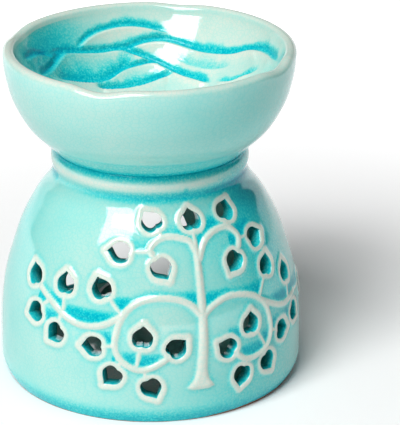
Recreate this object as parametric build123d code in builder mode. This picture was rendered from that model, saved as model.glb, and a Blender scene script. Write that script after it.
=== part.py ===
"""Essential oil burner: a pierced ceramic dome that carries a shallow oil bowl over a tealight.

The origin is on the burner's axis at the table and +Z is up. The raised tree faces -Y. The tealight
goes in through a door in the back, which faces +Y, turned a little towards +X.
Lengths are in millimetres. Turns are degrees around the axis from the middle of the tree, towards +X.
"""
import math
import os

from build123d import *

os.makedirs("parts", exist_ok=True)

# Stand: dome, foot ring, floor and collar
dome_radius = 55.0
dome_height = 77.5
wall = 4.5
foot_width = 4.6
floor_top = 9.0
floor_thickness = 4.0
neck_radius = 34.7
collar_height = 8.0
bead_bulge = 1.1
bead_margin = 0.7

# Door for the tealight
door_width = 52.0
door_height = 43.0
door_spring = 25.0
door_turn = 174.0

# Oil bowl
bowl_radius = 52.0
bowl_height = 36.7
bowl_wall = 4.5
bowl_floor = 4.4
bowl_seat_radius = 34.7
lip_drop = 2.5
dip_depth = 1.5
dip_radius = 50.0
dip_turns = [-40.0, 42.0, 147.0, 232.0]

# Raised tree
relief = 1.2
leaf_length = 11.4
leaf_width = 10.0
leaf_rim = 1.7
leaf_tip_rim = 2.4
leaf_side_bulge = 0.9
branch_width = 2.2
bar_step = 4.5

# Tealight candle
candle_radius = 19.0
candle_height = 15.5
candle_clearance = 0.3
cup_sheet = 0.4
cup_lip = 0.8
wax_height = 12.5
wick_radius = 0.8
wick_height = 7.0
sustainer_radius = 6.0
sustainer_sheet = 0.5
sustainer_tube_radius = 1.6
sustainer_tube_height = 3.5

overrun = 2.0

# Outline of the dome from the table to the collar, as shares of its radius and of its height
dome_outline_shares = [
    (0.960, 0.00),
    (0.993, 0.05),
    (1.000, 0.13),
    (0.998, 0.23),
    (0.987, 0.36),
    (0.958, 0.49),
    (0.904, 0.62),
    (0.855, 0.72),
    (0.793, 0.81),
    (0.722, 0.89),
    (0.660, 0.95),
]

# Outline of the bowl's outside from its seat to its lip, as shares of its radius and of its height
bowl_outline_shares = [
    (0.748, 0.12),
    (0.838, 0.25),
    (0.905, 0.40),
    (0.953, 0.55),
    (0.981, 0.70),
    (0.998, 0.85),
]

# Leaves: turn, height share, turn of the tip from straight up, and turn and height share of the place on the
# branch where the stem joins
leaf_shares = [
    (1.0, 0.911, -4, 0.6, 0.808),
    (-20.3, 0.915, -35, -14.5, 0.849),
    (23.1, 0.916, 32, 19.5, 0.852),
    (-34.3, 0.792, -86, -20.5, 0.794),
    (35.0, 0.773, 76, 23.8, 0.796),
    (-15.2, 0.728, 150, -20.0, 0.797),
    (18.0, 0.708, -140, 22.6, 0.772),
    (-40.6, 0.637, -25, -31.0, 0.521),
    (35.9, 0.646, 20, 27.0, 0.521),
    (-56.6, 0.627, -5, -55.5, 0.485),
    (48.5, 0.565, 5, 46.0, 0.430),
    (-74.3, 0.615, -25, -68.1, 0.560),
    (-70.5, 0.444, -115, -62.5, 0.532),
    (67.6, 0.418, 118, 60.5, 0.512),
    (-58.1, 0.381, -135, -56.0, 0.489),
    (51.5, 0.342, 135, 49.5, 0.443),
    (-42.9, 0.365, -95, -33.5, 0.382),
    (39.7, 0.315, 100, 31.0, 0.348),
    (-35.1, 0.228, -140, -30.7, 0.312),
    (29.3, 0.204, 150, 28.5, 0.286),
    (-19.6, 0.175, 155, -23.0, 0.275),
    (15.5, 0.174, -165, 17.8, 0.262),
    (-23.0, 0.435, 6, -25.5, 0.279),
    (20.9, 0.430, 6, 27.8, 0.281),
    (-9.8, 0.379, 48, -13.6, 0.330),
    (8.9, 0.343, -55, 13.9, 0.299),
]

# Trunk, roots and branches: points as turns and height shares
branch_shares = [
    [(0.6, 0.82), (0.8, 0.70), (0.3, 0.50), (0.0, 0.36), (0.0, 0.175)],
    [(0.0, 0.40), (-0.9, 0.29), (-2.0, 0.22), (-4.4, 0.175)],
    [(0.0, 0.40), (0.9, 0.29), (2.0, 0.22), (4.4, 0.175)],
    [(0.0, 0.79), (-2.1, 0.827), (-5.6, 0.841), (-10.3, 0.850), (-15.1, 0.846), (-18.4, 0.828),
     (-20.3, 0.801), (-19.4, 0.785)],
    [(1.4, 0.75), (2.7, 0.777), (4.9, 0.810), (8.3, 0.836), (13.4, 0.852), (19.2, 0.850), (22.4, 0.828),
     (23.8, 0.796), (22.4, 0.765)],
    [(0.0, 0.50), (-1.4, 0.523), (-4.3, 0.561), (-8.9, 0.588), (-16.0, 0.601), (-21.9, 0.594),
     (-27.8, 0.561), (-31.5, 0.502), (-33.2, 0.432), (-33.5, 0.377), (-32.0, 0.330), (-29.4, 0.299),
     (-23.9, 0.274), (-18.4, 0.294), (-12.5, 0.340)],
    [(0.0, 0.49), (1.4, 0.517), (5.0, 0.546), (10.6, 0.569), (17.7, 0.563), (24.8, 0.532), (29.4, 0.477),
     (31.1, 0.404), (31.0, 0.335), (28.3, 0.284), (23.3, 0.259), (17.4, 0.262), (12.5, 0.310)],
    [(-30.5, 0.525), (-37.3, 0.477), (-43.3, 0.458), (-49.8, 0.461), (-54.6, 0.480), (-58.9, 0.508),
     (-63.2, 0.535), (-69.0, 0.570)],
    [(27.8, 0.505), (33.5, 0.466), (38.6, 0.439), (45.1, 0.427), (50.0, 0.445), (55.0, 0.477),
     (62.5, 0.523)],
]

# Worked-out places
seat_height = dome_height + collar_height
neck_inside = neck_radius - wall
floor_under = floor_top - floor_thickness
rim_height = seat_height + bowl_height
bowl_inside_floor = seat_height + bowl_floor
bowl_inside_radius = bowl_radius - bowl_wall
cup_bottom = floor_top + candle_clearance
wax_bottom = cup_bottom + cup_sheet
wax_radius = candle_radius - cup_sheet
wax_top = wax_bottom + wax_height

dome_points = [(dome_radius * share, dome_height * rise) for share, rise in dome_outline_shares]
dome_points.append((neck_radius, dome_height))
foot_radius = dome_points[0][0]

with BuildLine(Plane.XZ) as dome_line:
    Spline(*dome_points)
dome_edge = dome_line.edges()[0]


def dome_share(height):
    """Share along the dome's outline where it reaches a height"""
    low = 0.0
    high = 1.0
    for _ in range(40):
        middle = (low + high) / 2
        if (dome_edge @ middle).Z < height:
            low = middle
        else:
            high = middle
    return (low + high) / 2


def directions(turn):
    """Outward and sideways directions at a turn"""
    angle = math.radians(turn)
    outward = Vector(math.sin(angle), -math.cos(angle), 0)
    sideways = Vector(math.cos(angle), math.sin(angle), 0)
    return outward, sideways


def dome_point(turn, height):
    """Point on the dome's outside"""
    outward, _ = directions(turn)
    profile = dome_edge @ dome_share(height)
    return outward * profile.X + Vector(0, 0, profile.Z)


def dome_normal(turn, height):
    """Direction square to the dome's outside"""
    outward, _ = directions(turn)
    slope = dome_edge % dome_share(height)
    return outward * slope.Z - Vector(0, 0, slope.X)


def leaf_plane(turn, height, tip_turn):
    """Plane that lies on the dome, with its Y axis towards a leaf's tip"""
    _, sideways = directions(turn)
    normal = dome_normal(turn, height)
    upward = normal.cross(sideways)
    angle = math.radians(tip_turn)
    across = sideways * math.cos(angle) - upward * math.sin(angle)
    return Plane(origin=dome_point(turn, height), x_dir=across, z_dir=normal)


def upright_plane(turn, depth):
    """Upright plane that faces outward, at a depth from the axis"""
    outward, sideways = directions(turn)
    return Plane(origin=outward * depth, x_dir=sideways, z_dir=outward)


def leaf_faces(planes, length, width, base_height):
    """Pointed leaves with their tips along each plane's Y axis and their round ends at a base height"""
    shoulder = base_height + width / 2
    tip = (0, base_height + length)
    with BuildSketch(*planes) as leaves:
        with BuildLine():
            base = ThreePointArc((-width / 2, shoulder), (0, base_height), (width / 2, shoulder))
            SagittaArc(base @ 1, tip, -leaf_side_bulge)
            SagittaArc(tip, base @ 0, -leaf_side_bulge)
        make_face()
    return leaves.sketch


def bar_planes(stroke):
    """Planes on the dome for short bars in a row along a stroke"""
    with BuildLine() as route:
        if len(stroke) > 2:
            Spline(*stroke)
        else:
            Line(*stroke)
    edge = route.edges()[0]
    count = max(1, math.ceil(edge.length / bar_step))
    planes = []
    for index in range(count):
        start = edge @ (index / count)
        end = edge @ ((index + 1) / count)
        middle = (start + end) / 2
        turn = math.degrees(math.atan2(middle.X, -middle.Y))
        normal = dome_normal(turn, middle.Z)
        planes.append(Plane(origin=middle, x_dir=end - start, z_dir=normal))
    return planes


leaf_planes = []
strokes = []
for turn, rise_share, tip_turn, join_turn, join_share in leaf_shares:
    plane = leaf_plane(turn, dome_height * rise_share, tip_turn)
    leaf_planes.append(plane)
    stem_start = plane.from_local_coords(Vector(0, (leaf_rim - leaf_length) / 2, 0))
    strokes.append([stem_start, dome_point(join_turn, dome_height * join_share)])
for places in branch_shares:
    strokes.append([dome_point(turn, dome_height * rise_share) for turn, rise_share in places])
leaf_base = -leaf_length / 2
hole_length = leaf_length - leaf_rim - leaf_tip_rim
hole_width = leaf_width - 2 * leaf_rim
leaf_pads = leaf_faces(leaf_planes, leaf_length, leaf_width, leaf_base)
leaf_holes = leaf_faces(leaf_planes, hole_length, hole_width, leaf_base + leaf_rim)
bars = [plane for stroke in strokes for plane in bar_planes(stroke)]

# Stand, turned from its section, with the raised tree, the leaf holes and the door
with BuildPart() as stand:
    with BuildSketch(Plane.XZ):
        with BuildLine():
            inside_points = [
                (radius - wall, height) for radius, height in dome_points if height > floor_top + wall
            ]
            floor_radius = (dome_edge @ dome_share(floor_top)).X - wall
            recess_radius = foot_radius - foot_width
            Spline(*dome_points)
            Line((neck_radius, dome_height), (neck_radius, dome_height + bead_margin))
            ThreePointArc(
                (neck_radius, dome_height + bead_margin),
                (neck_radius + bead_bulge, dome_height + collar_height / 2),
                (neck_radius, seat_height - bead_margin),
            )
            Polyline(
                (neck_radius, seat_height - bead_margin),
                (neck_radius, seat_height),
                (neck_inside, seat_height),
                (neck_inside, dome_height),
            )
            Spline(*reversed(inside_points), (floor_radius, floor_top))
            Polyline(
                (floor_radius, floor_top),
                (0, floor_top),
                (0, floor_under),
                (recess_radius, floor_under),
                (recess_radius, 0),
                (foot_radius, 0),
            )
        make_face()
    revolve(axis=Axis.Z)
    with Locations(*bars):
        Box(bar_step + branch_width / 2, branch_width, 2 * relief)
    extrude(leaf_pads, amount=relief, both=True)
    extrude(leaf_holes, amount=2 * wall, both=True, mode=Mode.SUBTRACT)
    with BuildSketch(upright_plane(door_turn, 0)):
        with BuildLine():
            half = door_width / 2
            spring_height = floor_top + door_spring
            Polyline((-half, spring_height), (-half, floor_top), (half, floor_top), (half, spring_height))
            ThreePointArc((half, spring_height), (0, floor_top + door_height), (-half, spring_height))
        make_face()
    extrude(amount=dome_radius + overrun, mode=Mode.SUBTRACT)
stand.part.label = "stand"
export_step(stand.part, "parts/stand.step")

# Oil bowl with a round inside, a rounded lip and four shallow dips in the rim
bowl_outside_points = [(bowl_seat_radius, seat_height)]
for share, rise in bowl_outline_shares:
    bowl_outside_points.append((bowl_radius * share, seat_height + bowl_height * rise))
bowl_outside_points.append((bowl_radius, rim_height - lip_drop))
lip_inside = (bowl_inside_radius, rim_height - lip_drop)
with BuildPart() as bowl:
    with BuildSketch(Plane.XZ):
        with BuildLine():
            Spline(*bowl_outside_points)
            lip_middle = ((bowl_radius + bowl_inside_radius) / 2, rim_height)
            ThreePointArc(bowl_outside_points[-1], lip_middle, lip_inside)
            TangentArc((0, bowl_inside_floor), lip_inside, tangent=(1, 0))
            Polyline((0, bowl_inside_floor), (0, seat_height), bowl_outside_points[0])
        make_face()
    revolve(axis=Axis.Z)
    for turn in dip_turns:
        with BuildSketch(upright_plane(turn, neck_inside)):
            with Locations((0, rim_height + dip_radius - dip_depth)):
                Circle(dip_radius)
        extrude(amount=bowl_radius, mode=Mode.SUBTRACT)
bowl.part.label = "bowl"
export_step(bowl.part, "parts/bowl.step")

# Tealight cup with a small turned-out lip
with BuildPart() as tealight_cup:
    with BuildSketch(Plane.XZ):
        with BuildLine():
            cup_top = cup_bottom + candle_height
            Polyline(
                (0, cup_bottom),
                (candle_radius, cup_bottom),
                (candle_radius, cup_top - cup_sheet),
                (candle_radius + cup_lip, cup_top - cup_sheet),
                (candle_radius + cup_lip, cup_top),
                (wax_radius, cup_top),
                (wax_radius, wax_bottom),
                (0, wax_bottom),
                close=True,
            )
        make_face()
    revolve(axis=Axis.Z)
tealight_cup.part.label = "tealight_cup"
export_step(tealight_cup.part, "parts/tealight_cup.step")

# Metal foot that holds the wick
sustainer_top = wax_bottom + sustainer_sheet + sustainer_tube_height
with BuildPart() as wick_sustainer:
    with BuildSketch(Plane.XY.offset(wax_bottom)):
        Circle(sustainer_radius)
        Circle(wick_radius, mode=Mode.SUBTRACT)
    extrude(amount=sustainer_sheet)
    with BuildSketch(Plane.XY.offset(wax_bottom + sustainer_sheet)):
        Circle(sustainer_tube_radius)
        Circle(wick_radius, mode=Mode.SUBTRACT)
    extrude(amount=sustainer_tube_height)
wick_sustainer.part.label = "wick_sustainer"
export_step(wick_sustainer.part, "parts/wick_sustainer.step")

# Wick, from the cup's bottom to above the wax
with BuildPart() as wick:
    with BuildSketch(Plane.XY.offset(wax_bottom)):
        Circle(wick_radius)
    extrude(amount=wax_height + wick_height)
wick.part.label = "wick"
export_step(wick.part, "parts/wick.step")

# Wax, cast around the wick and its foot
with BuildPart() as tealight_wax:
    with BuildSketch(Plane.XZ):
        with BuildLine():
            Polyline(
                (sustainer_radius, wax_bottom),
                (wax_radius, wax_bottom),
                (wax_radius, wax_top),
                (wick_radius, wax_top),
                (wick_radius, sustainer_top),
                (sustainer_tube_radius, sustainer_top),
                (sustainer_tube_radius, wax_bottom + sustainer_sheet),
                (sustainer_radius, wax_bottom + sustainer_sheet),
                close=True,
            )
        make_face()
    revolve(axis=Axis.Z)
tealight_wax.part.label = "tealight_wax"
export_step(tealight_wax.part, "parts/tealight_wax.step")
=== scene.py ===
"""Essential oil burner in celadon crackle glaze, on a white table in soft studio light."""
import math

import bmesh
import bpy
import numpy as np
from mathutils import Euler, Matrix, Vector
from mathutils.kdtree import KDTree


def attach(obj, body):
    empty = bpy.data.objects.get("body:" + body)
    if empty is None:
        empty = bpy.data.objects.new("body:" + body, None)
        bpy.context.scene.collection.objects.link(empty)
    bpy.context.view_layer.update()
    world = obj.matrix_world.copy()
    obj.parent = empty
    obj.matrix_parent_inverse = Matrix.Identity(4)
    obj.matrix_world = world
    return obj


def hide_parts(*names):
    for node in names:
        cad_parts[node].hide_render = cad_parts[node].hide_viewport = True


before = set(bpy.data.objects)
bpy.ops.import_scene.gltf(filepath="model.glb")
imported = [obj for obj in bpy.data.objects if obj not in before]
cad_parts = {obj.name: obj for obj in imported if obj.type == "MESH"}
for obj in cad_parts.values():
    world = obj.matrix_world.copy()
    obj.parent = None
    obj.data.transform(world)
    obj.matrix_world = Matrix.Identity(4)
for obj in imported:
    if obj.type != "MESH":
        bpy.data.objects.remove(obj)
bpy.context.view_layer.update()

MM = 0.001
UP = np.array([0.0, 0.0, 1.0])

# Stand, in millimetres
dome_radius = 55.0
dome_height = 77.5
wall = 4.5
foot_width = 4.6
floor_top = 9.0
floor_under = 5.0
neck_radius = 34.7
collar_height = 8.0
bead_bulge = 0.9
bead_margin = 0.7
seat_height = dome_height + collar_height
neck_inside = neck_radius - wall
crease_rounds = 6
crease_rows = 3

# Door for the tealight
door_width = 52.0
door_height = 43.0
door_spring = 25.0
door_turn = 172.4
door_sill = 0.3

# Oil bowl
bowl_radius = 52.0
bowl_height = 36.7
bowl_wall = 4.5
bowl_floor = 4.4
lip_drop = 2.5
dip_half_width = 13.0
dip_reach = 13.0
rim_height = seat_height + bowl_height

# Dips in the rim: turn and depth
dips = [(-40.0, 1.5), (42.0, 1.3), (147.0, 0.7), (232.0, 0.8)]

# Raised tree
relief = 0.9
relief_slope = 2.0
relief_skirt = 0.8
cream_skirt = 1.0
cream_slope = 1.7
halo_reach = 1.1
halo_strength = 0.45
leaf_length = 11.0
leaf_width = 9.8
leaf_corner = 1.4
leaf_rim_height_share = 0.75
leaf_slope = 2.6
leaf_lift_share = 0.25
leaf_edge_share = 0.3
leaf_cream_slope = 2.2
leaf_cream_lift_share = 0.2
hole_length = 8.2
hole_width = 7.4
hole_shift = -0.4
leaf_notch_share = 0.0
hole_notch_share = 0.07
hole_roll_share = 0.14
hole_pool = 0.75
hole_edge_slope = 1.5
branch_half_width = 1.0
stem_half_width = 0.45
dam_height = 0.15
dam_reach = 2.0
stem_start_share = 0.36
pool_reach = 3.4
soft_reach = 0.4

# Glaze on the stand: how cream or how full of glaze places are, from 0 to 1, and how far that reaches
bead_cream = 0.6
bead_cream_reach = 2.2
bead_pool_reach = 1.5
bead_thin = 0.85
bead_thin_turn = -75.0
bead_thin_reach = 40.0
seat_pool_reach = 1.5
foot_pool = 0.85
foot_pool_reach = 3.2
dam_pool = 0.55
pool_low = 0.1
pool_high = 0.7
ridge_low = 0.21
ridge_high = 0.625
inside_cream = 0.45
inside_pool = 0.05
under_pool = 0.3
# The band of raw clay at the foot is widest on the shaded right side and narrow on the lamp-lit left:
# painted contact shadow together with the real raw clay foot
clay_line = 0.9
foot_shadow_turn = 60.0
foot_shadow_half_turn = 70.0
foot_shadow_fade_turn = 30.0
clay_least_share = 0.2

# Carved waves in the bowl
crest = 1.7
crest_edge = 1.0
crest_fall = 4.6
cream_fall = 3.0
groove = 0.5
channel_soft = 0.8
wave_end_fade = 9.0
wave_tip_share = 0.3
pool_run_share = 1.4
hollow_run_share = 0.6

# Unevenness of the glaze above the waves: count around, phase and share
wave_wobbles = [(9.0, 0.4, 0.22), (23.0, 1.7, 0.16), (51.0, 0.9, 0.10)]

# Glaze on the bowl
# Paler glaze over the bowl's whole inside, partly painted light standing in for its brightly lit inside
bowl_inside_cream_and_light = 0.46
wave_cream = 0.44
rim_cream = 0.66
rim_cream_reach = 1.8
bowl_foot_reach = 1.8
bowl_foot_film = 0.22
bowl_foot_height = 7.0
bowl_foot_edge = 1.2
bottom_pool = 0.4

# Spacing of the mesh
fine_step = 0.55
coarse_step = 1.6
bowl_step = 1.0
branch_step = 0.3
wave_step = 1.0
stem_samples = 26
spline_samples = 60
leaf_samples = 14
bead_samples = 15
door_samples = 24
lip_samples = 16
cap_samples = 60
front_turn = 88.0
bowl_columns = 600
leaf_reach = 1.2 * leaf_length
trunk_reach = 4.0 * leaf_width
far_away = 2.0 * dome_radius

# Outline of the dome from the table to the collar, as shares of its radius and of its height
dome_outline_shares = [
    (0.960, 0.00),
    (0.993, 0.05),
    (1.000, 0.13),
    (0.998, 0.23),
    (0.987, 0.36),
    (0.958, 0.49),
    (0.904, 0.62),
    (0.855, 0.72),
    (0.793, 0.81),
    (0.722, 0.89),
    (0.660, 0.95),
]

# Outline of the bowl's outside from its seat to its lip, as shares of its radius and of its height
bowl_outline_shares = [
    (0.748, 0.12),
    (0.838, 0.25),
    (0.905, 0.40),
    (0.953, 0.55),
    (0.981, 0.70),
    (0.998, 0.85),
]

# Control points of half a leaf's outline from its notch to its side and on to its tip, as shares of its
# width and its length
leaf_lobe_shares = [(0.18, -0.53), (0.5, -0.50), (0.5, -0.06)]
leaf_flank_shares = [(0.5, 0.20), (0.20, 0.28), (0.0, 0.5)]

# Leaves: turn, height share, turn of the tip from straight up, and turn and height share of the place
# on the branch where the stem joins
leaf_shares = [
    (1.0, 0.911, -4, 0.6, 0.808),
    (-20.3, 0.915, -35, -14.5, 0.849),
    (23.1, 0.916, 32, 19.5, 0.852),
    (-35.0, 0.786, -86, -20.5, 0.794),
    (35.0, 0.773, 76, 23.8, 0.796),
    (-14.9, 0.715, 150, -20.0, 0.797),
    (17.6, 0.700, -140, 22.6, 0.772),
    (-40.6, 0.637, -25, -31.0, 0.521),
    (35.9, 0.646, 20, 27.0, 0.521),
    (-56.6, 0.627, -5, -55.5, 0.485),
    (48.5, 0.565, 5, 46.0, 0.430),
    (-74.3, 0.615, -25, -68.1, 0.560),
    (-70.5, 0.444, -115, -62.5, 0.532),
    (67.6, 0.418, 100, 52.5, 0.440),
    (-59.0, 0.379, -135, -56.0, 0.489),
    (51.5, 0.342, 135, 49.5, 0.432),
    (-42.9, 0.365, -95, -33.5, 0.382),
    (39.7, 0.315, 100, 31.0, 0.348),
    (-35.1, 0.228, -140, -30.7, 0.312),
    (29.3, 0.195, 150, 28.5, 0.286),
    (-19.6, 0.175, 155, -23.0, 0.275),
    (15.5, 0.174, -165, 17.8, 0.262),
    (-23.0, 0.435, 6, -25.5, 0.279),
    (20.9, 0.430, 6, 27.8, 0.281),
    (-9.8, 0.379, 48, -13.6, 0.330),
    (8.9, 0.343, -55, 13.9, 0.299),
]

# Branches: points as turns and height shares
branch_shares = [
    [(0.0, 0.79), (-2.1, 0.827), (-5.6, 0.841), (-10.3, 0.850), (-15.1, 0.846), (-18.4, 0.828),
     (-20.3, 0.801), (-19.4, 0.785)],
    [(1.4, 0.75), (2.7, 0.777), (4.9, 0.810), (8.3, 0.836), (13.4, 0.852), (19.2, 0.850), (22.4, 0.828),
     (23.8, 0.796), (22.4, 0.765)],
    [(0.0, 0.50), (-1.4, 0.523), (-4.3, 0.561), (-8.9, 0.588), (-16.0, 0.601), (-21.9, 0.594),
     (-27.8, 0.561), (-31.5, 0.502), (-33.2, 0.432), (-33.5, 0.377), (-32.0, 0.330), (-29.4, 0.299),
     (-23.9, 0.274), (-18.4, 0.294), (-12.5, 0.340)],
    [(0.0, 0.49), (1.4, 0.517), (5.0, 0.546), (10.6, 0.569), (17.7, 0.563), (24.8, 0.532), (29.4, 0.477),
     (31.1, 0.404), (31.0, 0.335), (28.3, 0.284), (23.3, 0.259), (17.4, 0.262), (12.5, 0.310)],
    [(-30.5, 0.525), (-37.3, 0.477), (-43.3, 0.458), (-49.8, 0.461), (-54.6, 0.480), (-58.9, 0.508),
     (-63.2, 0.535), (-69.0, 0.570)],
    [(27.8, 0.505), (33.5, 0.466), (38.6, 0.439), (45.1, 0.427), (49.0, 0.432), (52.5, 0.440)],
]

# Trunk from its top to its root: turn, height share and half width in millimetres
trunk_shares = [
    (0.6, 0.825, 0.8),
    (0.4, 0.70, 1.15),
    (0.1, 0.50, 1.4),
    (-0.4, 0.36, 1.65),
    (-1.1, 0.26, 1.85),
    (-1.4, 0.215, 2.6),
    (-1.5, 0.175, 4.8),
    (-1.5, 0.166, 3.0),
]

# Carved channels inside the bowl: half width, reach of the glaze above, strength, and points as turns
# and heights above the seat
wave_channels = [
    (0.6, 0.9, 1.0, [(150, 26.6), (156, 27.9), (162, 28.9), (170, 29.7), (179, 29.6), (187, 28.8),
                     (194, 27.4), (200, 25.4), (204, 24.0)]),
    (0.8, 0.9, 1.0, [(73, 29.7), (84, 29.5), (97, 28.6), (104, 27.3), (110, 25.3), (119, 23.6),
                     (128, 22.9), (137, 23.1), (145, 24.0), (153.5, 24.9), (160.5, 24.7), (168, 23.7),
                     (174, 22.6), (181, 22.6), (188, 22.5), (194, 22.9), (199, 23.4), (210, 25.0),
                     (222, 26.0)]),
    (0.8, 0.7, 1.0, [(115, 14.6), (127.5, 14.9), (139.5, 15.4), (151, 17.0), (160.5, 18.8), (167, 20.2),
                     (174, 21.5), (181, 22.6)]),
    (0.5, 1.8, 0.25, [(108.5, 20.6), (115.5, 19.0), (126, 17.8), (135, 17.9), (143, 18.8),
                      (149.5, 20.6)]),
    (0.8, 2.6, 1.0, [(169, 17.0), (176.5, 16.7), (183, 15.7), (190, 14.7), (199, 14.5), (210, 15.5),
                     (221, 17.5), (230, 20.0)]),
    (0.6, 0.5, 1.0, [(150, 18.4), (158, 18.1), (165, 17.7), (170, 17.3), (176.5, 16.7), (183, 15.7),
                     (190, 14.7)]),
    (0.7, 1.2, 1.0, [(143, 15.3), (151, 14.3), (159, 13.1), (169.5, 12.1), (182, 11.8), (195, 12.2),
                     (206, 13.2)]),
    (0.5, 1.0, 0.7, [(85.5, 23.8), (90.5, 21.7), (94.5, 19.9), (98, 18.2), (106, 16.4), (114, 15.3)]),
    (0.7, 1.5, 1.0, [(216, 24.0), (222, 25.6), (229, 28.2), (237, 29.2), (246.5, 30.1)]),
    (0.7, 1.5, 1.0, [(206, 24.6), (212.5, 24.3), (218, 23.7), (224, 22.7), (233, 22.4), (242, 23.0)]),
]

# The channels come twice, at the back and at the front
wave_turn = -1.6
wave_turns = (wave_turn, wave_turn + 180.0)

# Where the glaze ran thicker, or thinner below zero, partly painted light: darker glaze on the right side
# away from the lamps is painted shade, paler glaze on the lamp-lit left is painted light: turn, height,
# reach around, reach up and strength
dome_glaze_and_painted_light_patches = [
    (46.0, 73.0, 20.0, 9.0, 1.30),
    (38.0, 53.0, 17.0, 13.0, 0.50),
    (34.0, 28.0, 20.0, 16.0, 0.16),
    (20.0, 6.0, 26.0, 12.0, 0.20),
    (8.0, 62.0, 14.0, 10.0, 0.12),
    (-55.0, 40.0, 34.0, 40.0, -0.06),
    (-97.0, 35.0, 16.0, 40.0, 0.07),
    (-16.0, 36.0, 12.0, 8.0, -0.05),
    (-12.0, 52.0, 10.0, 8.0, -0.06),
    (150.0, 66.0, 40.0, 12.0, 0.35),
    (-130.0, 60.0, 30.0, 14.0, 0.25),
]

# Pools that hold less glaze than others: turn, height, reach around, reach up and share that is missing
dome_thin_pools = [
    (-25.0, 66.0, 10.0, 6.0, 0.88),
    (-9.0, 69.5, 8.0, 4.0, 0.85),
]

# Thicker and thinner glaze inside and outside the bowl, partly painted light: the thinner, paler film on the
# lamp-facing inner right wall and on the outer left is painted light, and the thicker, darker film outside
# on the right, away from the lamps, is painted shade
bowl_glaze_and_painted_light_patches = [
    (218.0, 114.5, 19.0, 5.5, 0.95),
    (238.0, 109.0, 20.0, 7.0, 0.70),
    (200.0, 104.0, 20.0, 3.5, 0.22),
    (168.0, 99.5, 18.0, 2.5, 0.12),
    (130.0, 107.0, 30.0, 8.0, -0.04),
    (130.0, 119.0, 40.0, 6.0, -0.04),
    (40.0, 111.0, 26.0, 6.0, 0.45),
]
bowl_outside_painted_light_patches = [
    (24.0, 106.0, 26.0, 14.0, 0.10),
    (-60.0, 108.0, 34.0, 16.0, -0.05),
]


def smooth(value):
    """Zero below 0, one above 1, and an S-shaped rise between"""
    value = np.clip(value, 0.0, 1.0)
    return value * value * (3.0 - 2.0 * value)


def band(values, middle, reach):
    """One at the middle, fading to zero on both sides"""
    return np.exp(-((values - middle) / reach) ** 2)


def spline_curve(points, step):
    """Smooth curve through points, as points evenly spaced along it"""
    points = np.array(points, dtype=float)
    chords = np.linalg.norm(np.diff(points, axis=0), axis=1)
    knots = np.concatenate([[0.0], np.cumsum(chords)])
    count = len(points)
    system = np.eye(count)
    target = np.zeros_like(points)
    for index in range(1, count - 1):
        before, after = chords[index - 1], chords[index]
        system[index, index - 1:index + 2] = before, 2.0 * (before + after), after
        rise = (points[index + 1] - points[index]) / after
        target[index] = 6.0 * (rise - (points[index] - points[index - 1]) / before)
    bend = np.linalg.solve(system, target)
    fine = np.linspace(0.0, knots[-1], spline_samples * count)
    piece = np.clip(np.searchsorted(knots, fine, side="right") - 1, 0, count - 2)
    span = chords[piece][:, None]
    right = (fine - knots[piece])[:, None] / span
    left = 1.0 - right
    curve = left * points[piece] + right * points[piece + 1]
    curve += ((left ** 3 - left) * bend[piece] + (right ** 3 - right) * bend[piece + 1]) * span ** 2 / 6.0
    return even_points(curve, step)


def even_points(curve, step):
    """Points evenly spaced along a chain of points"""
    curve = np.array(curve, dtype=float)
    lengths = np.linalg.norm(np.diff(curve, axis=0), axis=1)
    along = np.concatenate([[0.0], np.cumsum(lengths)])
    count = max(2, int(round(along[-1] / step)) + 1)
    places = np.linspace(0.0, along[-1], count)
    return np.stack([np.interp(places, along, column) for column in curve.T], axis=1)


def arc_points(start, middle, end, count):
    """Points on the arc through three points"""
    (ax, ay), (bx, by), (cx, cy) = start, middle, end
    double = 2.0 * (ax * (by - cy) + bx * (cy - ay) + cx * (ay - by))
    a2, b2, c2 = ax * ax + ay * ay, bx * bx + by * by, cx * cx + cy * cy
    ux = (a2 * (by - cy) + b2 * (cy - ay) + c2 * (ay - by)) / double
    uy = (a2 * (cx - bx) + b2 * (ax - cx) + c2 * (bx - ax)) / double
    radius = math.hypot(ax - ux, ay - uy)
    first = math.atan2(ay - uy, ax - ux)
    turns = [math.atan2(y - uy, x - ux) - first for x, y in (middle, end)]
    turns = [(turn + math.pi) % (2.0 * math.pi) - math.pi for turn in turns]
    sweep = turns[1]
    if turns[0] * sweep < 0.0:
        sweep -= math.copysign(2.0 * math.pi, sweep)
    angles = first + np.linspace(0.0, sweep, count)
    return [(ux + radius * math.cos(angle), uy + radius * math.sin(angle)) for angle in angles]


def bezier(points):
    """Points along a cubic curve given by its four control points"""
    place = np.linspace(0.0, 1.0, leaf_samples)[:, None]
    a, b, c, d = np.array(points, dtype=float)
    back = 1.0 - place
    return a * back ** 3 + 3 * b * back ** 2 * place + 3 * c * back * place ** 2 + d * place ** 3


def leaf_outline(length, width, notch_share):
    """Closed outline of a heart-shaped leaf, with its tip along +Y and its notch at the stem"""
    size = np.array([width, length])
    notch = np.array([0.0, notch_share - 0.5]) * size
    lobe = bezier([notch, *(np.array(leaf_lobe_shares) * size)])
    flank = bezier([lobe[-1], *(np.array(leaf_flank_shares) * size)])
    right = np.concatenate([lobe[:-1], flank])
    left = right[-2:0:-1] * (-1.0, 1.0)
    return np.concatenate([right, left])


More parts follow.
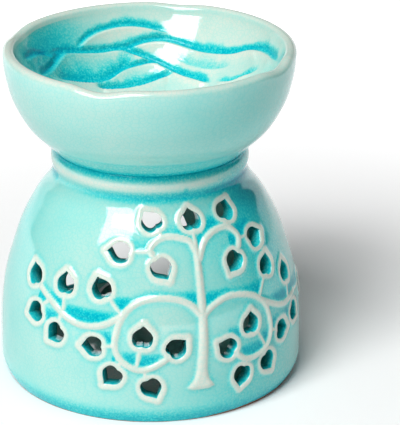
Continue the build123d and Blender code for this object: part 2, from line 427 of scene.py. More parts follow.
def outline_distance(places, outline):
    """Distance from places to a closed outline, negative inside"""
    start = outline
    end = np.roll(outline, -1, axis=0)
    nearest = np.full(len(places), np.inf)
    inside = np.zeros(len(places), dtype=bool)
    for (ax, ay), (bx, by) in zip(start, end):
        dx, dy = bx - ax, by - ay
        px, py = places[:, 0] - ax, places[:, 1] - ay
        share = np.clip((px * dx + py * dy) / (dx * dx + dy * dy), 0.0, 1.0)
        nearest = np.minimum(nearest, np.hypot(px - share * dx, py - share * dy))
        if ay != by:
            crosses = (ay > places[:, 1]) != (by > places[:, 1])
            reach = ax + (places[:, 1] - ay) * dx / dy
            inside ^= crosses & (places[:, 0] < reach)
    return np.where(inside, -nearest, nearest)


dome_points = [(dome_radius * share, dome_height * rise) for share, rise in dome_outline_shares]
dome_points.append((neck_radius, dome_height))
foot_radius = dome_points[0][0]
dome_curve = spline_curve(dome_points, fine_step)
dome_curve[:, 0] = np.minimum(dome_curve[:, 0], dome_radius)


def around(turns):
    """Outward and sideways directions at turns from the front, in degrees"""
    angles = np.radians(turns)
    zeros = np.zeros_like(angles)
    outward = np.stack([np.sin(angles), -np.cos(angles), zeros], axis=-1)
    sideways = np.stack([np.cos(angles), np.sin(angles), zeros], axis=-1)
    return outward, sideways


def turned(profile, outward):
    """Points or directions of a profile, turned about the axis"""
    return profile[:, 0, None, None] * outward[None] + profile[:, 1, None, None] * UP


def profile_normals(path):
    """Outward directions square to a profile that runs from the table upwards on the outside"""
    slope = np.gradient(path, axis=0)
    slope /= np.linalg.norm(slope, axis=1)[:, None]
    return np.stack([slope[:, 1], -slope[:, 0]], axis=1)


def soften(path, crease):
    """Rounds a profile where it bends"""
    for _ in range(crease_rounds):
        near = path[crease - crease_rows - 1:crease + crease_rows + 2]
        path[crease - crease_rows:crease + crease_rows + 1] = (near[:-2] + 2.0 * near[1:-1] + near[2:]) / 4.0


def dome_point(turn, rise_share):
    """Point on the dome's outside"""
    height = dome_height * rise_share
    outward, _ = around(turn)
    return outward * np.interp(height, dome_curve[:, 1], dome_curve[:, 0]) + height * UP


def dome_axes(turn, rise_share):
    """Sideways, upward and outward directions on the dome"""
    height = dome_height * rise_share
    normals = profile_normals(dome_curve)
    out_share = np.interp(height, dome_curve[:, 1], normals[:, 0])
    up_share = np.interp(height, dome_curve[:, 1], normals[:, 1])
    outward, sideways = around(turn)
    normal = outward * out_share + up_share * UP
    normal /= np.linalg.norm(normal)
    return sideways, np.cross(normal, sideways), normal


def blur(values, reach):
    """Field on the mesh, averaged over a round neighbourhood that wraps around the axis"""
    half = int(math.ceil(3 * reach / fine_step))
    weights = np.exp(-0.5 * (np.arange(-half, half + 1) * fine_step / reach) ** 2)
    weights /= weights.sum()
    padded = np.pad(values, ((half, half), (0, 0)), mode="edge")
    rows = sum(weight * padded[index:index + len(values)] for index, weight in enumerate(weights))
    return sum(weight * np.roll(rows, index - half, axis=1) for index, weight in enumerate(weights))


def patches(turns, heights, places):
    """Sum of soft round patches on a mesh of turns and heights"""
    total = np.zeros((len(heights), len(turns)))
    for turn, height, around_reach, up_reach, strength in places:
        away = (turns - turn + 180.0) % 360.0 - 180.0
        across = band(away, 0.0, around_reach)
        total += strength * band(heights, height, up_reach)[:, None] * across[None]
    return total


def puddles(heights, blocked):
    """How full of glaze each place is, when glaze runs down and ridges dam it"""
    rows, columns = blocked.shape
    sink = np.zeros((rows, columns))
    for row in range(1, rows):
        shut = np.flatnonzero(blocked[row])
        if len(shut) == 0:
            sink[row] = np.where(blocked[row - 1], heights[row], sink[row - 1])
            continue
        start = shut[0] + 1
        order = np.arange(start, start + columns) % columns
        breaks = np.flatnonzero(blocked[row][order])
        first = 0
        for stop in breaks:
            run = order[first:stop]
            first = stop + 1
            if len(run) == 0:
                continue
            ways_down = np.flatnonzero(~blocked[row - 1][run])
            if len(ways_down) == 0:
                sink[row, run] = heights[row]
                continue
            nearest = np.abs(np.arange(len(run))[:, None] - ways_down[None]).argmin(axis=1)
            sink[row, run] = sink[row - 1, run[ways_down[nearest]]]
    above = heights[:, None] - sink
    return np.where(blocked | (sink <= 0.0), 0.0, band(above, 0.0, pool_reach))


class Clay:
    """Mesh of one fired piece, with the fields that steer its glaze"""

    def __init__(self):
        self.points = []
        self.faces = []
        self.ridge = []
        self.pool = []
        self.thick_and_painted_light = []
        self.bare_clay_and_shadow = []

    def add_points(self, points, ridge=0.0, pool=0.0, thick_and_painted_light=0.0, bare_clay_and_shadow=0.0):
        """Adds points and gives the number of the first"""
        first = len(self.points)
        count = len(points)
        self.points.extend(np.asarray(points, dtype=float))
        self.ridge.extend(np.broadcast_to(ridge, (count,)))
        self.pool.extend(np.broadcast_to(pool, (count,)))
        self.thick_and_painted_light.extend(np.broadcast_to(thick_and_painted_light, (count,)))
        self.bare_clay_and_shadow.extend(np.broadcast_to(bare_clay_and_shadow, (count,)))
        return first

    def between(self, one, two, share, **fields):
        """Adds a point between two others, with some of its fields given"""
        mixed = {}
        for name in ("points", "ridge", "pool", "thick_and_painted_light", "bare_clay_and_shadow"):
            values = getattr(self, name)
            mixed[name] = values[one] * (1.0 - share) + values[two] * share
        mixed.update(fields)
        return self.add_points([mixed.pop("points")], **mixed)

    def make(self, name, material, body, nodes):
        """Blender object of the piece"""
        mesh = bpy.data.meshes.new(name)
        mesh.from_pydata([tuple(point * MM) for point in self.points], [], self.faces)
        for field in ("ridge", "pool", "thick_and_painted_light", "bare_clay_and_shadow"):
            attribute = mesh.attributes.new(field, "FLOAT", "POINT")
            attribute.data.foreach_set("value", np.array(getattr(self, field), dtype=np.float32))
        mesh.polygons.foreach_set("use_smooth", np.ones(len(mesh.polygons), dtype=bool))
        mesh.materials.append(material)
        mesh.validate()
        mesh.update()
        used = np.zeros(len(mesh.vertices), dtype=bool)
        used[[index for face in self.faces for index in face]] = True
        loose = bmesh.new()
        loose.from_mesh(mesh)
        loose.verts.ensure_lookup_table()
        spare = [loose.verts[int(index)] for index in np.flatnonzero(~used)]
        bmesh.ops.delete(loose, geom=spare, context="VERTS")
        loose.to_mesh(mesh)
        loose.free()
        piece = bpy.data.objects.new(name, mesh)
        bpy.context.scene.collection.objects.link(piece)
        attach(piece, body)
        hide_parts(*nodes)
        return piece


def tree_fields(points):
    """Height of the tree and of its branches alone, its cream, and the distance to its holes"""
    height = np.zeros(len(points))
    cream = np.zeros(len(points))
    hole = np.full(len(points), far_away)

    stems = []
    for turn, rise, _, join_turn, join_rise in leaf_shares:
        leaf, join = dome_point(turn, rise), dome_point(join_turn, join_rise)
        stems.append(np.linspace(leaf + stem_start_share * (join - leaf), join, stem_samples))
    branches = []
    for places in branch_shares:
        branches.append(spline_curve([dome_point(*place) for place in places], branch_step))
    for strokes, half_width in ((stems, stem_half_width), (branches, branch_half_width)):
        samples = np.concatenate(strokes)
        tree = KDTree(len(samples))
        for index, sample in enumerate(samples):
            tree.insert(sample, index)
        tree.balance()
        away = np.array([tree.find(point)[2] for point in points]) - half_width
        height = np.maximum(height, smooth((relief_skirt - away) / relief_slope))
        cream = np.maximum(cream, smooth((cream_skirt - away) / cream_slope))

    right = [(dome_point(turn, rise), half) for turn, rise, half in trunk_shares]
    trunk = [(point[0] + half, point[2]) for point, half in right]
    trunk += [(point[0] - half, point[2]) for point, half in reversed(right)]
    front = (points[:, 1] < 0.0) & (np.abs(points[:, 0]) < trunk_reach)
    away = outline_distance(points[front][:, [0, 2]], np.array(trunk))
    height[front] = np.maximum(height[front], smooth((relief_skirt - away) / relief_slope))
    cream[front] = np.maximum(cream[front], smooth((cream_skirt - away) / cream_slope))
    branch_height = height.copy()

    outline = leaf_outline(leaf_length - 2 * leaf_corner, leaf_width - 2 * leaf_corner, leaf_notch_share)
    inner = leaf_outline(hole_length, hole_width, hole_notch_share) + np.array([0.0, hole_shift])
    for turn, rise, tip_turn, _, _ in leaf_shares:
        middle = dome_point(turn, rise)
        sideways, upward, normal = dome_axes(turn, rise)
        angle = math.radians(tip_turn)
        across = sideways * math.cos(angle) - upward * math.sin(angle)
        towards = sideways * math.sin(angle) + upward * math.cos(angle)
        near = np.linalg.norm(points - middle, axis=1) < leaf_reach
        offset = points[near] - middle
        places = np.stack([offset @ across, offset @ towards], axis=1)
        away = outline_distance(places, outline) - leaf_corner
        from_hole = outline_distance(places, inner)
        rim = smooth((relief_skirt - away) / leaf_slope + leaf_lift_share)
        paler = smooth((cream_skirt - away) / leaf_cream_slope + leaf_cream_lift_share)
        cream[near] = np.maximum(cream[near], paler)
        rolled = smooth(from_hole / hole_edge_slope)
        rim *= leaf_rim_height_share * (leaf_edge_share + (1.0 - leaf_edge_share) * rolled)
        height[near] = np.where(away < 0.0, rim, np.maximum(height[near], rim))
        hole[near] = np.minimum(hole[near], from_hole)
    return height, branch_height, cream, hole


def door_distance(points):
    """Distance from points on the dome to the door's edge, negative inside"""
    outward, sideways = around(door_turn)
    half = door_width / 2
    sill = floor_top + door_sill
    spring = floor_top + door_spring
    arch = arc_points((half, spring), (0.0, floor_top + door_height), (-half, spring), door_samples)
    outline = np.array([(-half, sill), (half, sill)] + arch)
    distance = outline_distance(np.stack([points @ sideways, points[:, 2]], axis=1), outline)
    return np.where(points @ outward > 0.0, distance, far_away)


def stand_mesh(material):
    """Pierced dome with its foot, floor, raised tree, door and collar"""
    bead = arc_points(
        (neck_radius, dome_height + bead_margin),
        (neck_radius + bead_bulge, dome_height + collar_height / 2),
        (neck_radius, seat_height - bead_margin),
        bead_samples,
    )
    collar = even_points([(neck_radius, dome_height)] + bead + [(neck_radius, seat_height)], fine_step)
    path = np.concatenate([dome_curve, collar[1:]])
    soften(path, len(dome_curve) - 1)
    floor_row = int(np.argmin(np.abs(path[:, 1] - floor_top)))
    path[floor_row, 1] = floor_top
    normals = profile_normals(path)

    fine_turn = math.degrees(fine_step / dome_radius)
    coarse_turn = math.degrees(coarse_step / dome_radius)
    fine_turns = np.arange(-front_turn, front_turn, fine_turn)
    coarse_turns = np.linspace(front_turn, 360.0 - front_turn, int((360.0 - 2 * front_turn) / coarse_turn))
    turns = np.concatenate([fine_turns, coarse_turns[:-1]])
    columns = len(turns)
    rows = len(path)
    outward, _ = around(turns)
    base = turned(path, outward)
    square = turned(normals, outward)

    flat = base.reshape(-1, 3)
    height, branch_height, cream, hole = tree_fields(flat)
    hole = np.minimum(hole, door_distance(flat))
    ridge = cream.reshape(rows, columns)
    branch = branch_height.reshape(rows, columns)
    dam = np.zeros_like(ridge)
    for step in range(1, int(2 * dam_reach / fine_step)):
        fade = band(step * fine_step, 0.0, dam_reach)
        dam[step:] = np.maximum(dam[step:], fade * branch[:-step])
    heights = path[:, 1]
    held = blur(puddles(heights, ridge > dam_height), soft_reach)
    sunk = smooth((held - pool_low) / (pool_high - pool_low))
    sunk *= 1.0 - patches(turns, heights, dome_thin_pools)
    under_bead = band(heights, dome_height, bead_pool_reach)
    bead_run = 1.0 - bead_thin * band(turns, bead_thin_turn, bead_thin_reach)
    under_bowl = band(heights, seat_height, seat_pool_reach)
    at_foot = foot_pool * band(heights, clay_line, foot_pool_reach)
    bead_top = bead_cream * band(heights, dome_height + collar_height / 2, bead_cream_reach)
    pool = np.maximum(dam_pool * dam, sunk)
    pool = np.maximum(pool, under_bead[:, None] * bead_run[None])
    pool = np.maximum(pool, np.maximum(under_bowl, at_foot)[:, None])
    halo = halo_strength * np.clip(blur(ridge, halo_reach) - ridge, 0.0, 1.0)
    off_ridge = 1.0 - smooth((ridge - ridge_low) / (ridge_high - ridge_low))
    pool = np.maximum(pool, halo) * off_ridge
    # Glaze patches, partly painted shade on the right side away from the lamps and painted light on the
    # lamp-lit left
    thick_and_painted_light = patches(turns, heights, dome_glaze_and_painted_light_patches) * off_ridge
    ridge = np.maximum(ridge, bead_top[:, None])

    clay = Clay()
    raised = flat + square.reshape(-1, 3) * (relief * height)[:, None]
    # Raw clay band at the foot, wider on the shaded right as painted contact shadow and narrow on the
    # lamp-lit left
    foot_shadow_share = smooth((foot_shadow_half_turn - np.abs(turns - foot_shadow_turn)) / foot_shadow_fade_turn)
    clay_and_shadow_band = clay_line * (clay_least_share + (1.0 - clay_least_share) * foot_shadow_share)
    bare_clay_and_shadow = 1.0 - smooth(heights[:, None] / clay_and_shadow_band[None] - 0.5)
    outer = clay.add_points(raised, ridge.ravel(), pool.ravel(), thick_and_painted_light.ravel(), bare_clay_and_shadow.ravel())
    inner_radius = np.where(heights <= dome_height, path[:, 0] - wall, neck_inside)
    inside = turned(np.stack([inner_radius, heights], axis=1), outward)
    inner = clay.add_points(inside.reshape(-1, 3), inside_cream, inside_pool)
    to_inner = {index: index + inner - outer for index in range(rows * columns)}
    to_roll = {}
    crossings = {}

    def crossing(one, two):
        """Points on the edge of an opening, outside and inside, between two mesh points"""
        key = (min(one, two), max(one, two))
        if key not in crossings:
            share = hole[key[0]] / (hole[key[0]] - hole[key[1]])
            point = clay.between(key[0], key[1], share)
            far = clay.between(to_inner[key[0]], to_inner[key[1]], share, ridge=0.0, pool=hole_pool / 2)
            to_inner[point] = far
            to_roll[point] = clay.between(point, far, hole_roll_share, ridge=0.0, pool=hole_pool)
            crossings[key] = point
        return crossings[key]

    for row in range(rows - 1):
        for column in range(columns):
            after = (column + 1) % columns
            corners = [row * columns + column, row * columns + after,
                       (row + 1) * columns + after, (row + 1) * columns + column]
            open_corners = [hole[corner] <= 0.0 for corner in corners]
            if all(open_corners):
                continue
            kept = corners
            if any(open_corners):
                kept = []
                cut = [None, None]
                for place in range(4):
                    one, two = corners[place], corners[(place + 1) % 4]
                    if not open_corners[place]:
                        kept.append(one)
                    if open_corners[place] != open_corners[(place + 1) % 4]:
                        point = crossing(one, two)
                        kept.append(point)
                        cut[1 if open_corners[place] else 0] = point
                leave, enter = cut
                clay.faces.append((enter, leave, to_roll[leave], to_roll[enter]))
                clay.faces.append((to_roll[enter], to_roll[leave], to_inner[leave], to_inner[enter]))
            clay.faces.append(tuple(kept))
            if row >= floor_row:
                clay.faces.append(tuple(to_inner[index] for index in reversed(kept)))

    ring_radius = foot_radius - foot_width
    foot = clay.add_points(ring_radius * outward, bare_clay_and_shadow=1.0)
    recess = clay.add_points(ring_radius * outward + floor_under * UP, pool=under_pool)
    under = clay.add_points([floor_under * UP], pool=under_pool)
    middle = clay.add_points([floor_top * UP], inside_cream, inside_pool)
    top = (rows - 1) * columns
    floor_edge = inner + floor_row * columns
    for column in range(columns):
        after = (column + 1) % columns
        clay.faces.append((foot + column, foot + after, after, column))
        clay.faces.append((recess + column, recess + after, foot + after, foot + column))
        clay.faces.append((under, recess + after, recess + column))
        clay.faces.append((middle, floor_edge + column, floor_edge + after))
        clay.faces.append((top + column, top + after, inner + top + after, inner + top + column))
    return clay.make("burner_stand", material, "burner", ["stand"])


def wave_field(turns, along, heights_to_along):
    """Height, cream edges and pooling of the carved waves on the bowl's inner wall"""
    height = np.zeros((len(along), len(turns)))
    edge = np.zeros_like(height)
    pool = np.zeros_like(height)
    hollow = np.zeros_like(height)
    wobble = np.ones(len(turns))
    for count, phase, share in wave_wobbles:
        wobble += share * np.sin(np.radians(turns) * count + phase)
    for copy in wave_turns:
        for half_width, reach, strength, places in wave_channels:
            places = np.array(places, dtype=float)
            curve = spline_curve(places, wave_step)
            local = (turns - copy) % 360.0
            level = np.interp(local, curve[:, 0], curve[:, 1])
            start, end = places[0, 0], places[-1, 0]
            fade = smooth((local - start) / wave_end_fade) * smooth((end - local) / wave_end_fade)
            fade = strength * fade[None]
            half = half_width * (wave_tip_share + (1.0 - wave_tip_share) * fade)
            offset = along[:, None] - heights_to_along(level)[None]
            below = np.maximum(-offset - half, 0.0)
            above = np.maximum(offset - half, 0.0)
            step = smooth((offset + half) / channel_soft + 0.5)
            core = step * band(above, 0.0, hollow_run_share * reach)
            hollow = np.maximum(hollow, fade * core)
            rise = smooth(below / crest_edge)
            height = np.maximum(height, fade * rise * np.exp(-below / crest_fall))
            edge = np.maximum(edge, fade * rise * band(below, 0.0, cream_fall))
            run = step * band(above, 0.0, pool_run_share * wobble[None] * reach)
            pool = np.maximum(pool, fade * run)
    height = crest * height * (1.0 - hollow) - groove * hollow
    return height, edge * (1.0 - hollow), pool


def bowl_mesh(material):
    """Shallow bowl with a rolled lip, shallow dips in its rim and carved waves inside"""
    inside_radius = bowl_radius - bowl_wall
    inside_floor = seat_height + bowl_floor
    outside = [(neck_radius, seat_height)]
    for share, rise in bowl_outline_shares:
        outside.append((bowl_radius * share, seat_height + bowl_height * rise))
    outside.append((bowl_radius, rim_height - lip_drop))
    lip_inside = (inside_radius, rim_height - lip_drop)
    cap_height = lip_inside[1] - inside_floor
    cap_radius = (inside_radius ** 2 + cap_height ** 2) / (2 * cap_height)
    cap_angles = np.linspace(0.0, math.asin(inside_radius / cap_radius), cap_samples)
    cap = np.stack([np.sin(cap_angles), 1.0 - np.cos(cap_angles)], axis=1) * cap_radius
    lip_top = ((bowl_radius + inside_radius) / 2, rim_height)
    lip = arc_points(outside[-1], lip_top, lip_inside, lip_samples)
    outer_path = spline_curve(outside, bowl_step)
    inner_path = even_points(cap + np.array([0.0, inside_floor]), fine_step)[::-1]
    path = np.concatenate([outer_path, np.array(lip)[1:-1], inner_path[:-1]])
    first_inner = len(outer_path) + len(lip) - 2
    lip_middle = len(outer_path) + len(lip) // 2 - 1
    soften(path, first_inner)

    turns = np.linspace(0.0, 360.0, bowl_columns, endpoint=False)
    outward, _ = around(turns)
    rows = len(path)
    steps = np.linalg.norm(np.diff(inner_path, axis=0), axis=1)
    along = np.concatenate([[0.0], np.cumsum(steps)])
    along = along[-1] - along

    def heights_to_along(heights):
        """Place along the inner wall at heights above the seat"""
        return np.interp(heights + seat_height, inner_path[::-1, 1], along[::-1])

    waves, wave_edge, wave_pool = wave_field(turns, along, heights_to_along)
    normals = profile_normals(path)
    ridge = np.zeros((rows, bowl_columns))
    pool = np.zeros_like(ridge)
    height = np.zeros_like(ridge)
    height[first_inner:] = waves[:-1]
    pool[first_inner:] = wave_pool[:-1]
    heights = path[:, 1]
    # Paler glaze over the inside, partly painted light
    ridge[lip_middle:] = bowl_inside_cream_and_light
    ridge[first_inner:] += wave_cream * wave_edge[:-1]
    edge = rim_cream * band(heights, rim_height, rim_cream_reach)
    ridge = np.maximum(ridge, edge[:, None])
    film = bowl_foot_film * smooth((seat_height + bowl_foot_height - heights) / bowl_foot_edge)
    foot = np.maximum(band(heights, seat_height, bowl_foot_reach), film)
    foot[first_inner:] = 0.0
    # Glaze patches inside and outside the bowl, partly painted shade and painted light
    thick_and_painted_light = patches(turns, heights, bowl_glaze_and_painted_light_patches)
    thick_and_painted_light[:first_inner] = patches(turns, heights[:first_inner], bowl_outside_painted_light_patches)
    pool = np.maximum(pool, foot[:, None])

    sink = np.zeros(bowl_columns)
    for turn, dip_depth in dips:
        away = (turns - turn + 180.0) % 360.0 - 180.0
        share = np.clip(np.radians(np.abs(away)) * bowl_radius / dip_half_width, 0.0, 1.0)
        sink += dip_depth * np.cos(share * math.pi / 2) ** 2
    near_rim = smooth((heights - rim_height + dip_reach) / dip_reach)
    base = turned(path, outward)
    square = turned(normals, outward)
    points = base + square * height[:, :, None] - (near_rim[:, None] * sink[None])[:, :, None] * UP

    clay = Clay()
    clay.add_points(points.reshape(-1, 3), ridge.ravel(), pool.ravel(), thick_and_painted_light.ravel())
    under = clay.add_points([seat_height * UP])
    bottom = clay.add_points([inside_floor * UP], pool=bottom_pool)
    last = (rows - 1) * bowl_columns
    for column in range(bowl_columns):
        after = (column + 1) % bowl_columns
        for row in range(rows - 1):
            low, high = row * bowl_columns, (row + 1) * bowl_columns
            clay.faces.append((low + column, low + after, high + after, high + column))
        clay.faces.append((under, after, column))
        clay.faces.append((bottom, last + column, last + after))
    return clay.make("burner_bowl", material, "burner", ["bowl"])


def linear(colour):
    """Linear colour from a web colour"""
    parts = [int(colour[place:place + 2], 16) / 255.0 for place in (1, 3, 5)]
    return [part / 12.92 if part <= 0.04045 else ((part + 0.055) / 1.055) ** 2.4 for part in parts] + [1.0]


class Nodes:
    """Short way to write a material's nodes"""

    def __init__(self, name):
        self.material = bpy.data.materials.new(name)
        self.material.use_nodes = True
        self.tree = self.material.node_tree
        self.shader = self.tree.nodes["Principled BSDF"]

    def add(self, kind, inputs=None, **settings):
        """Adds a node, with its settings and its inputs"""
        node = self.tree.nodes.new(kind)
        for key, value in settings.items():
            setattr(node, key, value)
        for key, value in (inputs or {}).items():
            self.put(node.inputs[key], value)
        return node

    def put(self, socket, value):
        """Sets a socket, or links it to another node's output"""
        if isinstance(value, bpy.types.NodeSocket):
            self.tree.links.new(value, socket)
        else:
            socket.default_value = value

    def math(self, operation, one, two=0.0, clamp=False):
        """Result of a calculation with two values"""
        return self.add("ShaderNodeMath", {0: one, 1: two}, operation=operation, use_clamp=clamp).outputs[0]

    def mix(self, share, one, two, blend="MIX"):
        """Mix of two colours"""
        node = self.add("ShaderNodeMix", data_type="RGBA", blend_type=blend)
        self.put(node.inputs["Factor"], share)
        self.put(node.inputs["A"], one)
        self.put(node.inputs["B"], two)
        return node.outputs["Result"]

    def field(self, name):
        """Value of a mesh field"""
        return self.add("ShaderNodeAttribute", attribute_name=name).outputs["Fac"]

    def noise(self, place, scale, detail=2.0, roughness=0.5):
        """Soft random pattern"""
        inputs = {"Vector": place, "Scale": scale, "Detail": detail, "Roughness": roughness}
        return self.add("ShaderNodeTexNoise", inputs).outputs["Fac"]

    def grow(self, start, value, share):
        """A start value and a share of another value, added"""
        return self.math("ADD", start, self.math("MULTIPLY", value, share))

    def bump(self, height, strength, distance):
        """Fine unevenness of the surface"""
        inputs = {"Height": height, "Strength": strength, "Distance": distance}
        self.put(self.shader.inputs["Normal"], self.add("ShaderNodeBump", inputs).outputs["Normal"])

    def ramp(self, value, low, high):
        """Value taken from a range to 0 to 1, with a soft start and end"""
        inputs = {"Value": value, "From Min": low, "From Max": high}
        return self.add("ShaderNodeMapRange", inputs, interpolation_type="SMOOTHSTEP").outputs["Result"]


def glaze_material():
    """Celadon crackle glaze: cream over edges, turquoise where it pools"""
    broad_scale, cloud_scale, grain_scale, crack_scale = 38.0, 120.0, 1300.0, 620.0
    crack_width = 0.14
    clay_colour = {"Red": 0.71, "Green": 0.78, "Blue": 0.69}
    absorption = {"Red": 0.80, "Green": 0.068, "Blue": 0.03}
    thin_film, film_change = 0.47, 0.93
    thick_film, pool_film = 5.0, 5.2
    spot_range = (0.3, 0.7)
    least_speckle, cloud_speckle = 0.1, 0.8
    least_cover, spot_cover = 0.6, 0.8
    cream_wander, cream_range = 0.3, (0.15, 0.95)
    clay_wander, clay_range = 0.9, (0.4, 0.6)
    crack_film, pool_crack_film = 0.22, 1.8
    gloss, gloss_change = 0.03, 0.04
    clay_roughness = 0.7
    shine, pool_shine_loss = 0.5, 0.4
    glaze_index = 1.65
    cloud_relief, crack_relief = 0.5, -0.06
    uneven_depth = 0.6 * MM

    n = Nodes("celadon_glaze")
    place = n.add("ShaderNodeTexCoord").outputs["Object"]
    ridge = n.field("ridge")
    pool = n.field("pool")
    thick_and_painted_light = n.field("thick_and_painted_light")
    broad = n.noise(place, broad_scale, detail=3.0)
    grain = n.noise(place, grain_scale, roughness=0.6)
    cloud = n.noise(place, cloud_scale, detail=3.0)
    cells = {"Vector": place, "Scale": crack_scale}
    crack = n.add("ShaderNodeTexVoronoi", cells, feature="DISTANCE_TO_EDGE")
    cracks = n.math("SUBTRACT", 1.0, n.ramp(crack.outputs["Distance"], 0.0, crack_width))

    spots = n.ramp(grain, *spot_range)
    speckle = n.math("ADD", n.grow(least_speckle, cloud, cloud_speckle), spots)
    cover = n.math("MULTIPLY", n.grow(least_cover, spots, spot_cover), thick_film)
    cream = n.ramp(n.grow(ridge, cloud, cream_wander), *cream_range)
    film = n.math("MULTIPLY", n.math("SUBTRACT", 1.0, cream), n.grow(thin_film, broad, film_change))
    # Glaze patches add to the film: partly real runs of glaze, partly painted shade on the side away from
    # the lamps and painted light on the lamp-lit side
    film = n.math("MAXIMUM", n.grow(film, thick_and_painted_light, cover), 0.0)
    deep = n.math("MULTIPLY", pool, n.math("MULTIPLY", speckle, pool_film))
    lines = n.math("MULTIPLY", cracks, n.grow(crack_film, pool, pool_crack_film))
    thickness = n.math("ADD", n.math("ADD", film, deep), lines)

    channels = {}
    for channel, clay in clay_colour.items():
        kept = n.math("EXPONENT", n.math("MULTIPLY", thickness, -absorption[channel]))
        channels[channel] = n.math("MULTIPLY", clay, kept)
    glaze = n.add("ShaderNodeCombineColor", channels).outputs["Color"]
    uneven = n.math("SUBTRACT", cloud, 0.5)
    # Brown clay shows where that field is high; along the shaded right of the foot the brown is painted
    # contact shadow as well as raw clay
    unglazed_and_shadow = n.ramp(n.grow(n.field("bare_clay_and_shadow"), uneven, clay_wander), *clay_range)
    earth = n.mix(grain, linear("#7A4E33"), linear("#A97C58"))
    n.put(n.shader.inputs["Base Color"], n.mix(unglazed_and_shadow, glaze, earth))
    smoothness = n.grow(gloss, cloud, gloss_change)
    n.put(n.shader.inputs["Roughness"], n.grow(smoothness, unglazed_and_shadow, clay_roughness))
    n.shader.inputs["IOR"].default_value = glaze_index
    dulled = n.math("SUBTRACT", shine, n.math("MULTIPLY", pool, pool_shine_loss), clamp=True)
    n.put(n.shader.inputs["Specular IOR Level"], dulled)
    relief_map = n.grow(n.math("MULTIPLY", cloud, cloud_relief), cracks, crack_relief)
    n.bump(relief_map, strength=0.08, distance=uneven_depth)
    return n.material


def metal_material():
    """Thin rolled aluminium of the tealight cup"""
    streak_scale = 160.0
    streak_depth = 0.4 * MM
    stretch = (1.0, 1.0, 14.0)
    polish, polish_change = 0.22, 0.2
    n = Nodes("tealight_foil")
    place = n.add("ShaderNodeTexCoord").outputs["Object"]
    rolled = n.add("ShaderNodeMapping", {"Vector": place, "Scale": stretch}).outputs[0]
    streak = n.noise(rolled, streak_scale, detail=4.0)
    n.put(n.shader.inputs["Base Color"], n.mix(streak, linear("#C6C9CB"), linear("#E3E5E6")))
    n.shader.inputs["Metallic"].default_value = 1.0
    n.put(n.shader.inputs["Roughness"], n.grow(polish, streak, polish_change))
    n.bump(streak, strength=0.15, distance=streak_depth)
    return n.material


def wax_material():
    """White candle wax"""
    cloud_scale = 140.0
    cloud_depth = 0.8 * MM
    glow_depth = 3.0 * MM
    polish, polish_change = 0.32, 0.2
    n = Nodes("tealight_wax")
    place = n.add("ShaderNodeTexCoord").outputs["Object"]
    cloud = n.noise(place, cloud_scale, detail=3.0)
    n.put(n.shader.inputs["Base Color"], n.mix(cloud, linear("#EEEAE0"), linear("#FBF9F4")))
    n.put(n.shader.inputs["Roughness"], n.grow(polish, cloud, polish_change))
    n.shader.inputs["Subsurface Weight"].default_value = 0.25
    n.shader.inputs["Subsurface Scale"].default_value = glow_depth
    n.bump(cloud, strength=0.2, distance=cloud_depth)
    return n.material


def wick_material():
    """Waxed cotton braid"""
    braid_scale = 700.0
    braid_depth = 0.3 * MM
    n = Nodes("tealight_wick")
    place = n.add("ShaderNodeTexCoord").outputs["Object"]
    waves = {"Vector": place, "Scale": braid_scale, "Distortion": 1.5}
    braid = n.add("ShaderNodeTexWave", waves, bands_direction="DIAGONAL").outputs["Fac"]
    n.put(n.shader.inputs["Base Color"], n.mix(braid, linear("#CFC6AE"), linear("#F1ECDD")))
    n.shader.inputs["Roughness"].default_value = 0.8
    n.bump(braid, strength=0.5, distance=braid_depth)
    return n.material


def table_material():
    """White table that keeps its shadow and is lifted to white where the camera or a reflection sees it"""
    near_lift, far_lift = 0.03, 0.53
    near_edge, far_edge = 0.08, 0.5
    n = Nodes("table_white")
    n.shader.inputs["Base Color"].default_value = (0.97, 0.97, 0.97, 1.0)
    n.shader.inputs["Roughness"].default_value = 0.9
    n.shader.inputs["Specular IOR Level"].default_value = 0.1
    path = n.add("ShaderNodeLightPath")
    seen = n.math("ADD", path.outputs["Is Camera Ray"], path.outputs["Is Glossy Ray"], clamp=True)
    seen = n.math("ADD", seen, path.outputs["Is Transmission Ray"], clamp=True)
    n.shader.inputs["Emission Color"].default_value = (1.0, 1.0, 1.0, 1.0)
    place = n.add("ShaderNodeTexCoord").outputs["Object"]
    away = n.add("ShaderNodeVectorMath", {0: place}, operation="LENGTH").outputs["Value"]
    lift = n.grow(near_lift, n.ramp(away, near_edge, far_edge), far_lift - near_lift)
    n.put(n.shader.inputs["Emission Strength"], n.math("MULTIPLY", seen, lift))
    return n.material


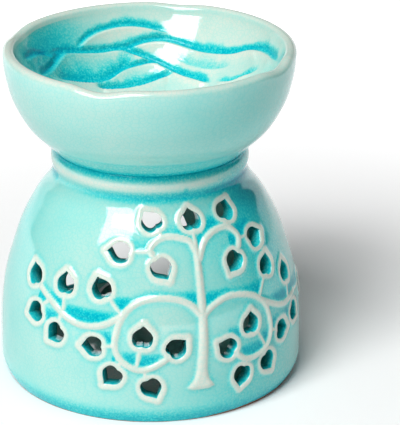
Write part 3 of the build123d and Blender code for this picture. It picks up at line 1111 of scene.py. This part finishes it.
def studio():
    """Table, lamps, world and camera"""
    world_light = 0.03
    sky_light = 0.32
    sky_edge = (0.5, 0.95)
    room_light = 0.1
    paper_turn = 156.4
    paper_edge = (0.56, 0.66)
    paper_top = (0.16, 0.12)
    table_size = 6.0
    lamp_distance = 4.0
    lamp_size = 1.9
    aim_height = 0.06
    scene = bpy.context.scene
    scene.view_settings.view_transform = "Standard"

    bpy.ops.mesh.primitive_plane_add(size=table_size)
    table = bpy.context.object
    table.name = "table"
    table.data.materials.append(table_material())

    world = bpy.data.worlds.new("studio")
    scene.world = world
    world.use_nodes = True
    nodes = world.node_tree.nodes
    links = world.node_tree.links
    background = nodes["Background"]
    background.inputs["Color"].default_value = (1.0, 1.0, 1.0, 1.0)
    path = nodes.new("ShaderNodeLightPath")
    place = nodes.new("ShaderNodeTexCoord")
    split = nodes.new("ShaderNodeSeparateXYZ")
    links.new(place.outputs["Generated"], split.inputs[0])

    def between(value, low, high):
        """World value taken from a range to 0 to 1"""
        node = nodes.new("ShaderNodeMapRange")
        node.interpolation_type = "SMOOTHSTEP"
        node.inputs["From Min"].default_value = low
        node.inputs["From Max"].default_value = high
        links.new(value, node.inputs["Value"])
        return node.outputs["Result"]

    def blend(share, one, two):
        """World value mixed from two others"""
        node = nodes.new("ShaderNodeMix")
        node.data_type = "FLOAT"
        for name, value in (("Factor", share), ("A", one), ("B", two)):
            socket = node.inputs[name]
            if isinstance(value, bpy.types.NodeSocket):
                links.new(value, socket)
            else:
                socket.default_value = value
        return node.outputs["Result"]

    facing = nodes.new("ShaderNodeVectorMath")
    facing.operation = "DOT_PRODUCT"
    links.new(place.outputs["Generated"], facing.inputs[0])
    facing.inputs[1].default_value = tuple(around(paper_turn)[0])
    behind = between(facing.outputs["Value"], *paper_edge)
    low_down = between(split.outputs["Z"], *paper_top)
    paper = blend(low_down, room_light, blend(behind, room_light, 1.0))
    sky = blend(between(split.outputs["Z"], *sky_edge), world_light, sky_light)
    strength = blend(path.outputs["Is Glossy Ray"], sky, paper)
    strength = blend(path.outputs["Is Transmission Ray"], strength, 1.0)
    strength = blend(path.outputs["Is Camera Ray"], strength, 1.0)
    links.new(strength, background.inputs["Strength"])

    def softbox(name, turn, rise, power):
        """Square lamp at a turn and a rise from the object, facing it"""
        data = bpy.data.lights.new(name, "AREA")
        data.shape = "SQUARE"
        data.size = lamp_size
        data.energy = power
        lamp = bpy.data.objects.new(name, data)
        outward, _ = around(turn)
        aim = Vector((0.0, 0.0, aim_height))
        spot = Vector(outward) * lamp_distance * math.cos(math.radians(rise))
        spot.z = lamp_distance * math.sin(math.radians(rise))
        lamp.location = aim + spot
        lamp.rotation_euler = (-spot).to_track_quat("-Z", "Y").to_euler()
        scene.collection.objects.link(lamp)

    softbox("key", turn=-57.1, rise=43.0, power=89.0)
    softbox("top", turn=-48.6, rise=59.0, power=84.0)

    camera_turn = -20.08
    camera_away = 0.8114
    camera_height = 0.3918
    camera_pitch = 22.171
    camera_roll = -0.264
    data = bpy.data.cameras.new("camera")
    data.sensor_width = 36.0
    data.lens = 204.7
    data.shift_x = 0.1173
    data.shift_y = -0.019
    data.clip_end = 20.0
    camera = bpy.data.objects.new("camera", data)
    outward, _ = around(camera_turn)
    camera.location = Vector(outward) * camera_away + Vector((0.0, 0.0, camera_height))
    aimed = Euler((math.radians(90.0 - camera_pitch), 0.0, math.radians(camera_turn)), "XYZ").to_quaternion()
    rolled = Euler((0.0, 0.0, math.radians(camera_roll)), "XYZ").to_quaternion()
    camera.rotation_euler = (aimed @ rolled).to_euler()
    scene.collection.objects.link(camera)
    scene.camera = camera


def paint(node, material):
    """Gives a CAD node's own shape a finished material"""
    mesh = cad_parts[node].data
    mesh.materials.clear()
    mesh.materials.append(material)


glaze = glaze_material()
stand_mesh(glaze)
bowl_mesh(glaze)
foil = metal_material()
paint("tealight_cup", foil)
paint("wick_sustainer", foil)
paint("tealight_wax", wax_material())
paint("wick", wick_material())
studio()
